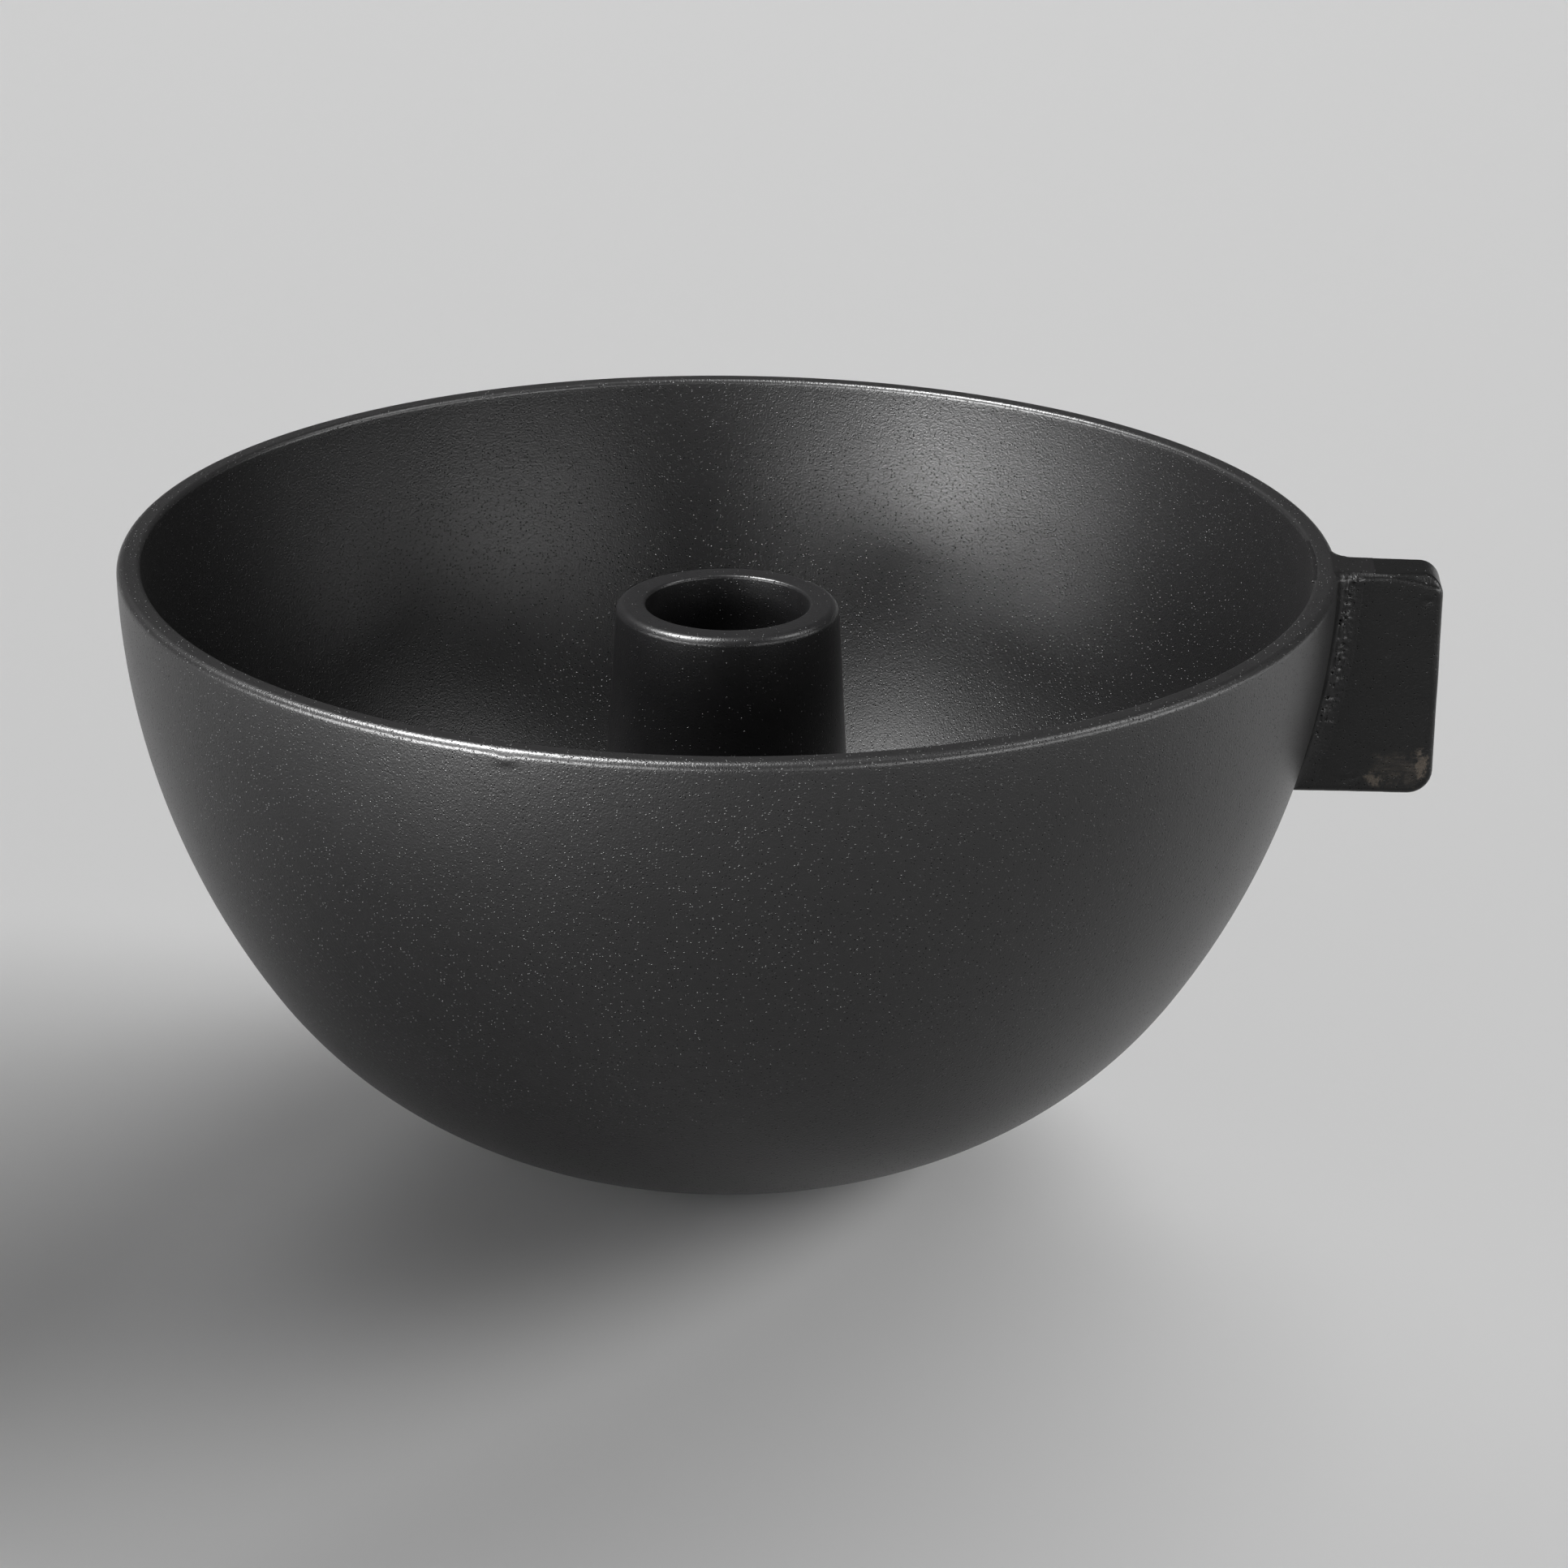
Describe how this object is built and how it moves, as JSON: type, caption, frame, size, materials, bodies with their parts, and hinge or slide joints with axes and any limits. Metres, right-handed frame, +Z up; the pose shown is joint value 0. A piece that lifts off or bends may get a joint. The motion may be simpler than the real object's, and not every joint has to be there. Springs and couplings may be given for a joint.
{
  "type": "bowl candle holder",
  "caption": "Round-bottomed black metal bowl with a tapered candle cup standing in its middle and a short slab handle at the rim; holds a dinner candle and catches the wax.",
  "frame": {"origin": "centre of the felt pad's underside, on the surface the holder stands on and on the axis of the bowl", "axes": "+Z up along the axis of the bowl and the candle bore, +X out along the handle"},
  "size_m": [0.1793, 0.165, 0.0833],
  "materials": {
    "bowl_coat": "satin",
    "cup_coat": "satin",
    "handle_coat": "satin",
    "weld_coat": "satin",
    "screw_steel": "satin",
    "felt": "matte"
  },
  "bodies": {
    "root": {"bowl_shell": "bowl_coat", "candle_cup": "cup_coat", "cup_screw": "screw_steel", "felt_pad": "felt", "handle_tab": "handle_coat", "handle_weld_front": "weld_coat", "handle_weld_back": "weld_coat", "handle_weld_under": "weld_coat", "handle_weld_top": "weld_coat"}
  },
  "joints": []
}
